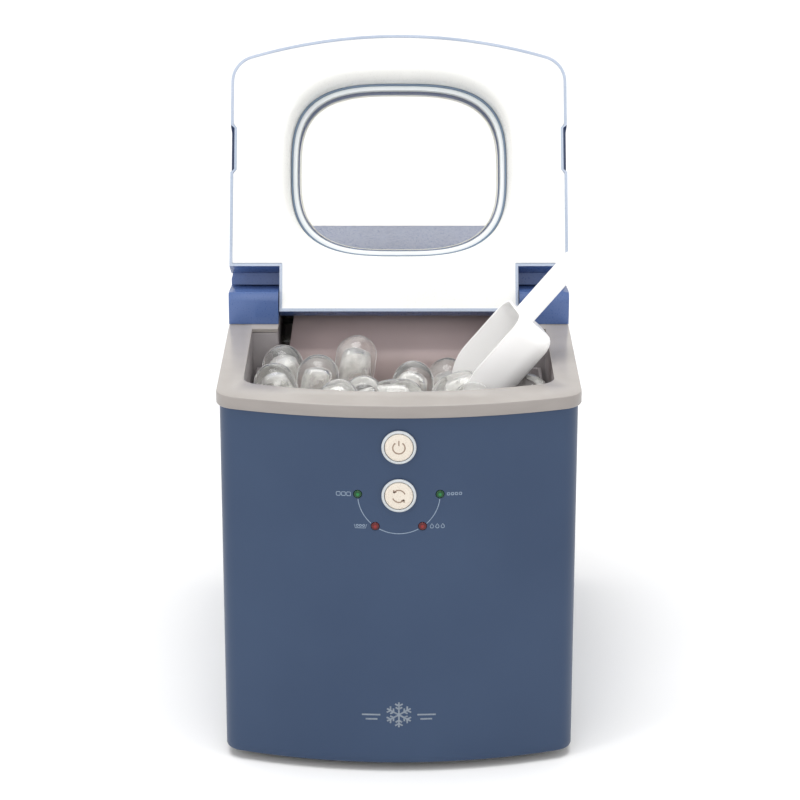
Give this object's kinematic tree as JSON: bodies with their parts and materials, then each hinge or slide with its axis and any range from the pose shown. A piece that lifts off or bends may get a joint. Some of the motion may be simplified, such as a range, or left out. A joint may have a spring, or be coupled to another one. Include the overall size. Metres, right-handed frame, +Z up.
{
  "type": "countertop ice maker",
  "caption": "Countertop bullet-ice maker, bow-fronted, with a windowed lid hinged open, a lift-out basket, a scoop, push buttons and its refrigeration and tipping tray inside.",
  "frame": {"origin": "on the floor under the feet, at the middle of the cabinet's width and depth", "axes": "+X to the right seen from the front, +Y to the back, +Z up; the front faces -Y"},
  "size_m": [0.247, 0.358, 0.4532],
  "materials": {
    "blue_shell": "satin navy blue",
    "grey_trim": "satin warm grey",
    "white_plastic": "smooth white",
    "cream_plastic": "matt cream",
    "bin_plastic": "dark warm grey",
    "smoked_plastic": "smoked mauve brown",
    "clear_pane": "clear acrylic",
    "gasket_rubber": "blue grey",
    "zinc_steel": "zinc plated",
    "fin_aluminium": "bare fins",
    "nickel_plate": "nickel plated",
    "copper_pipe": "bare copper",
    "black_plastic": "fine grained black",
    "compressor_paint": "semi-gloss black",
    "black_rubber": "matt",
    "circuit_board": "green board",
    "green_lens": "clear green",
    "red_lens": "clear red"
  },
  "bodies": {
    "cabinet": {"base_pan": "black_plastic", "compressor": "compressor_paint", "compressor_grommet_1": "black_rubber", "compressor_grommet_2": "black_rubber", "compressor_grommet_3": "black_rubber", "condenser": "fin_aluminium", "cord_gland": "black_rubber", "discharge_tube": "copper_pipe", "drain_spout": "white_plastic", "evaporator": "nickel_plate", "evaporator_shield": "smoked_plastic", "fan_motor": "zinc_steel", "fan_shroud": "black_plastic", "foot_front_left": "black_rubber", "foot_front_right": "black_rubber", "foot_rear_left": "black_rubber", "foot_rear_right": "black_rubber", "front_panel": "blue_shell", "hinge_pin_left": "zinc_steel", "hinge_pin_right": "zinc_steel", "ice_level_sensor_left": "black_plastic", "ice_level_sensor_right": "black_plastic", "led_add_water": "red_lens", "led_bin_full": "red_lens", "led_large_ice": "green_lens", "led_small_ice": "green_lens", "left_side_panel": "blue_shell", "liquid_tube": "copper_pipe", "main_board": "circuit_board", "on_off_ring": "grey_trim", "rear_panel": "black_plastic", "rear_screw_lower_left": "zinc_steel", "rear_screw_lower_right": "zinc_steel", "rear_screw_upper_left": "zinc_steel", "rear_screw_upper_right": "zinc_steel", "rear_top_cover": "blue_shell", "right_side_panel": "blue_shell", "select_ring": "grey_trim", "suction_tube": "copper_pipe", "switch_board": "circuit_board", "top_trim": "grey_trim", "tray_motor": "black_plastic", "water_hose": "clear_pane", "water_pump": "white_plastic", "water_tank": "bin_plastic"},
    "lid": {"lid_shell": "blue_shell", "lid_liner": "white_plastic", "lid_window": "clear_pane", "window_gasket": "gasket_rubber"},
    "basket": {"ice_basket": "bin_plastic"},
    "scoop": {"ice_scoop": "white_plastic"},
    "tray": {"water_tray": "white_plastic", "tray_shaft": "zinc_steel"},
    "fan": {"fan_blade": "black_plastic"},
    "on_off_key": {"on_off_button": "cream_plastic"},
    "select_key": {"select_button": "cream_plastic"},
    "drain_plug": {"drain_cap": "black_rubber"}
  },
  "joints": [
    {"name": "lid_hinge", "type": "hinge", "parent": "cabinet", "child": "lid", "pos_m": [0, 0.0225, 0.278], "axis": [1, 0, 0], "range_deg": [0, 118]},
    {"name": "basket_lift", "type": "slide", "parent": "cabinet", "child": "basket", "axis": [0, 0, 1], "range_m": [0, 0.32]},
    {"name": "scoop_draw", "type": "slide", "parent": "basket", "child": "scoop", "axis": [0.6604, 0.1222, 0.7409], "range_m": [0, 0.452]},
    {"name": "on_off_push", "type": "slide", "parent": "cabinet", "child": "on_off_key", "axis": [0, 1, 0], "range_m": [0, 0.0012], "stiffness_N_per_m": 600},
    {"name": "select_push", "type": "slide", "parent": "cabinet", "child": "select_key", "axis": [0, 1, 0], "range_m": [0, 0.0012], "stiffness_N_per_m": 600},
    {"name": "tray_tip", "type": "hinge", "parent": "cabinet", "child": "tray", "pos_m": [0, 0.086, 0.226], "axis": [1, 0, 0], "range_deg": [0, 65]},
    {"name": "fan_spin", "type": "hinge", "parent": "cabinet", "child": "fan", "pos_m": [-0.0775, 0.078, 0.075], "axis": [1, 0, 0], "continuous": true},
    {"name": "drain_plug_pull", "type": "slide", "parent": "cabinet", "child": "drain_plug", "axis": [1, 0, 0], "range_m": [0, 0.04]}
  ],
  "couplings": [
    {"joint": "scoop_draw", "follows": "lid_hinge", "m_per_rad": 0.2185}
  ]
}
